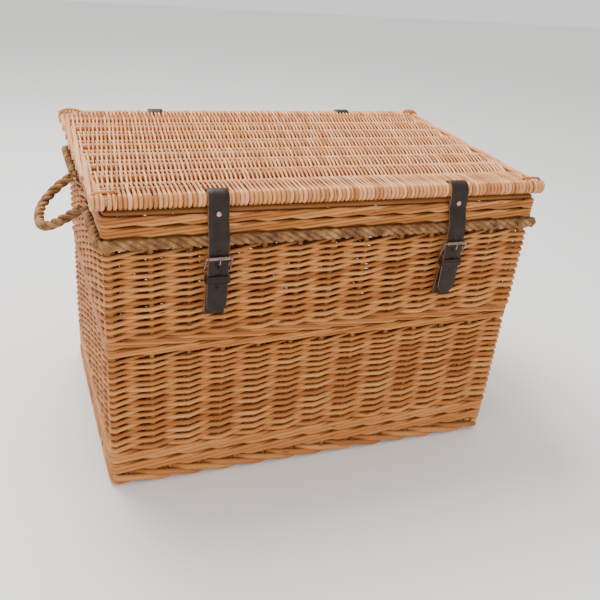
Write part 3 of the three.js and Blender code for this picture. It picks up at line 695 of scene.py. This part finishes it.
def strap_section(half_width):
    """A strap cut across: two flat faces whose corners are softened, and two cut edges."""
    h, t, c = half_width.reshape(-1, 1), LEATHER / 2, 0.55
    across = np.hstack([h - c, h * 0.45, -h * 0.45, c - h, -h, -h, c - h, -h * 0.45, h * 0.45, h - c, h, h])
    through = np.array([-t, -t, -t, -t, c - t, t - c, t, t, t, t, t - c, c - t])
    return np.stack([np.broadcast_to(through, across.shape), across], axis=-1)


def strap(line, x, half_width, tip=0.0):
    """A strap along a (y, z) line. With a tip, its end is rounded to that radius: the half width
    is what a circle leaves at each distance from the end."""
    line = spline(line, 3)
    step = np.linalg.norm(np.diff(line, axis=0), axis=1)
    run = np.concatenate([[0], np.cumsum(step)])
    if tip:
        fine = run[-1] - tip * (1 - np.sin(np.linspace(0, np.pi / 2, 9)))
        at = np.concatenate([run[run < fine[0] - 1], fine])
        line = np.stack([np.interp(at, run, line[:, k]) for k in range(2)], axis=1)
        run = at
    left = np.clip(run[-1] - run, 0, None)
    inside = np.clip(tip - left, 0, None)
    width = half_width - tip + np.sqrt(np.clip(tip ** 2 - inside ** 2, 0, None)) if tip else half_width
    width = np.maximum(np.broadcast_to(width, run.shape), 0.8)
    path = np.column_stack([np.full(len(line), x), line])
    return swept(path, strap_section(width), (1, 0, 0), edge=EDGE_SIDES)


def punch(obj, x):
    """Punches the strap's round holes with a boolean cut. Their walls are cut edge."""
    shapes = []
    for z, radius in STRAP_HOLES:
        path = np.array([(x, -262.0, z), (x, -230.0, z)])
        shapes.append(rod(path, radius, sides=20))
    cutter = piece(obj.name + "_cutter", None, [], shapes, [LEATHER_EDGE, LEATHER_EDGE])
    sides = cutter.data.polygons
    sides.foreach_set("material_index", np.ones(len(sides), np.int32))
    cut = obj.modifiers.new("punch", "BOOLEAN")
    cut.operation, cut.object, cut.solver = "DIFFERENCE", cutter, "EXACT"
    graph = bpy.context.evaluated_depsgraph_get()
    mesh = bpy.data.meshes.new_from_object(obj.evaluated_get(graph))
    obj.modifiers.clear()
    obj.data = mesh
    bpy.data.objects.remove(cutter)


def rivet_head(x, y, z, facing):
    """A domed rivet head on a face that looks along facing (-1 front, 1 back): a short drum, then
    circles whose radius is a cosine and whose height is a sine."""
    angle = np.linspace(0, np.pi / 2, 7)[:-1]
    out = np.concatenate([[0.0, 0.5], 0.5 + RIVET_HEIGHT * np.sin(angle[1:])])
    wide = RIVET_R * np.concatenate([[1, 1], np.cos(angle[1:])])
    path = np.column_stack([np.full(len(out), x), y + facing * out, np.full(len(out), z)])
    return swept(path, wide[:, None, None] * circle(20), (0, 0, 1))


for side, x in STRAP_X.items():
    round_bar = arc(FRONT_BAR_Y, BAR_Z, LOOP_R, 180, -125, 15)
    hanging_line = np.vstack([
        [(LEAF_Y + 2.5, 478.9), (LEAF_Y + 2.5, 489)], round_bar[::-1],
        [(LEAF_Y, 490), (LEAF_Y, 482), (LEAF_Y, 478.4), (-239.6, 468), (-246.2, 450), (-246.4, 436),
         (-247.3, 424), (-247.0, 396), (-246.3, 346), (-246.1, 328)]])
    hanging = piece(f"strap_leather_{side}", None, [f"strap_{side}_loop", f"strap_{side}"],
                    [strap(hanging_line, x, STRAP_WIDTH / 2, tip=STRAP_WIDTH / 2)],
                    [LEATHER_FACE, LEATHER_EDGE])
    punch(hanging, x)
    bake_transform(hanging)
    piece(f"strap_rivet_head_{side}", "lid", [f"strap_{side}_rivet"],
          [rivet_head(x, LEAF_Y - 1.15, 486, -1)], [COPPER])

    buckle_line = np.vstack([
        [(-210.7, 391), (-234.9, 391), (-236.5, 393.6)], arc(*HEEL, 3.3, -15, 195, 9),
        [(-241.4, 380), (-235.2, 345), (-233.7, 327.5), (-233.5, 320.5), (-208, 320.5), (-208, 388)]])
    piece(f"buckle_leather_{side}", "trunk", [f"buckle_strap_{side}"],
          [strap(buckle_line, x, STRAP_WIDTH / 2)], [LEATHER_FACE, LEATHER_EDGE])
    piece(f"buckle_rivet_head_{side}", "trunk", [f"buckle_rivet_{side}"],
          [rivet_head(x, -206.9, 350, 1)], [COPPER])

    # The keeper: a narrow band round the strap and the buckle strap behind it.
    half = STRAP_WIDTH / 2 + 1.8
    ring = spline([(x - half, -241.5), (x - half, -248), (x - half + 2, -250.3), (x, -250.6),
                   (x + half - 2, -250.3), (x + half, -248), (x + half, -241.5), (x + half - 2, -238.2),
                   (x, -237.8), (x - half + 2, -238.2)], 4, closed=True)
    band = np.array([(0.9, -5.2), (0.9, 5.2), (0.3, 5.3), (-0.9, 5.2), (-0.9, -5.2), (0.3, -5.3)])
    keeper = swept(np.column_stack([ring, np.full(len(ring), KEEPER_Z)]), band, (0, 0, 1), closed=True,
                   edge=(1, 2, 4, 5))
    piece(f"keeper_leather_{side}", "trunk", [f"keeper_{side}"], [keeper],
          [LEATHER_FACE, LEATHER_EDGE])

    # The frame: a rounded oblong of wire, as (across, share of the way from the heel to the head).
    wide, bend = 19.9, 0.14
    corners = [(3 - wide, 0), (wide - 3, 0), (wide - 0.6, bend / 4), (wide, bend), (wide, 0.5),
               (wide, 1 - bend), (wide - 0.6, 1 - bend / 4), (wide - 3, 1), (3 - wide, 1),
               (0.6 - wide, 1 - bend / 4), (-wide, 1 - bend), (-wide, 0.5), (-wide, bend),
               (0.6 - wide, bend / 4)]
    corners = spline(corners, 4, closed=True)
    wire = np.column_stack([x + corners[:, 0], HEEL + corners[:, 1:] * (HEAD - HEEL)])
    piece(f"buckle_wire_{side}", f"buckle_{side}", [f"buckle_frame_{side}"],
          [rod(wire, 1.65, sides=12, up=(0, 0.43, 0.9), closed=True)], [NICKEL])

    # The roller: a sleeve whose two ends are rolled over into a thicker lip.
    along = np.array([-16.8, -16.6, -16, -15.2, -8, 0, 8, 15.2, 16, 16.6, 16.8])
    thick = np.array([2.4, 2.9, 3.1, 2.85, 2.85, 2.85, 2.85, 2.85, 3.1, 2.9, 2.4])
    sleeve = np.column_stack([x + along, np.full(11, HEAD[0]), np.full(11, HEAD[1])])
    piece(f"buckle_roller_{side}", f"roller_{side}", [f"roller_{side}"],
          [rod(sleeve, thick, sides=20)], [NICKEL])

    # The prong: curled round the heel, then up through the strap's hole and over the roller.
    prong_line = np.vstack([arc(*HEEL, 3.0, 80, -180, 10), HEEL + np.array(
        [(-3.2, 6.6), (-4.6, 9.6), (-6.5, 11), (-10.5, 12.2), (-14, 15), (-16.1, 20), (-16.1, 25.5)])])
    prong_line = spline(prong_line, 3)
    last = len(prong_line) - 1
    taper = np.interp(np.arange(last + 1), [0, last - 4, last], [1.15, 1.1, 0.7])
    prong = np.column_stack([np.full(last + 1, x), prong_line])
    piece(f"buckle_prong_{side}", f"prong_{side}", [f"prong_{side}"],
          [rod(prong, taper, sides=10, up=(1, 0, 0))], [NICKEL])

for name, x in HINGE_X.items():
    leaf, rivet_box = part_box(f"hinge_{name}_leaf"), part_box(f"hinge_{name}_rivet")
    y = (leaf[0][1] + leaf[1][1]) / 2 / MM
    low = leaf[0][2] / MM
    round_bar = arc(BACK_BAR_Y, BAR_Z, LOOP_R, -35, 190, 14)
    line = np.vstack([[(y, low), (y, 470), (y, 483)], round_bar])
    hinge = piece(f"hinge_leather_{name}", None, [f"hinge_{name}_leaf", f"hinge_{name}_loop"],
                  [strap(line, x, HINGE_WIDTH / 2)], [LEATHER_FACE, LEATHER_EDGE])
    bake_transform(hinge)
    rivet_x = (rivet_box[0][0] + rivet_box[1][0]) / 2 / MM
    piece(f"hinge_rivet_head_{name}", "trunk", [f"hinge_{name}_rivet"],
          [rivet_head(rivet_x, leaf[1][1] / MM + 0.1, 465, 1)], [COPPER])

# ---- Floor, light and sky ----
plane = bpy.data.meshes.new("floor")
plane.from_pydata([(-6, -6, 0), (6, -6, 0), (6, 6, 0), (-6, 6, 0)], [], [(0, 1, 2, 3)])
floor = bpy.data.objects.new("floor", plane)
bpy.context.collection.objects.link(floor)
paper, _, _ = new_material("studio_paper", Base_Color=linear("#f1efec"), Roughness=0.9)
plane.materials.append(paper)

world = bpy.data.worlds.new("studio")
bpy.context.scene.world = world
world.use_nodes = True
world.node_tree.nodes["Background"].inputs[0].default_value = (1, 1, 1, 1)
world.node_tree.nodes["Background"].inputs[1].default_value = 1.05


def lamp(name, place, aim, size, power):
    """A soft box of the given size that looks at a point."""
    data = bpy.data.lights.new(name, "AREA")
    data.shape, data.size, data.energy = "SQUARE", size, power
    obj = bpy.data.objects.new(name, data)
    bpy.context.collection.objects.link(obj)
    away = unit(np.array(place, float) - np.array(aim, float))
    across = unit(np.cross((0.1, 1, 0.2), away))
    matrix = Matrix(np.column_stack([across, np.cross(away, across), away]).tolist()).to_4x4()
    matrix.translation = place
    obj.matrix_world = matrix


lamp("key_overhead", (-0.5, 0.9, 2.5), (0, 0, 0.45), 1.3, 95)
lamp("fill_front", (-1.2, -2.8, 1.9), (0, 0, 0.3), 1.5, 32)
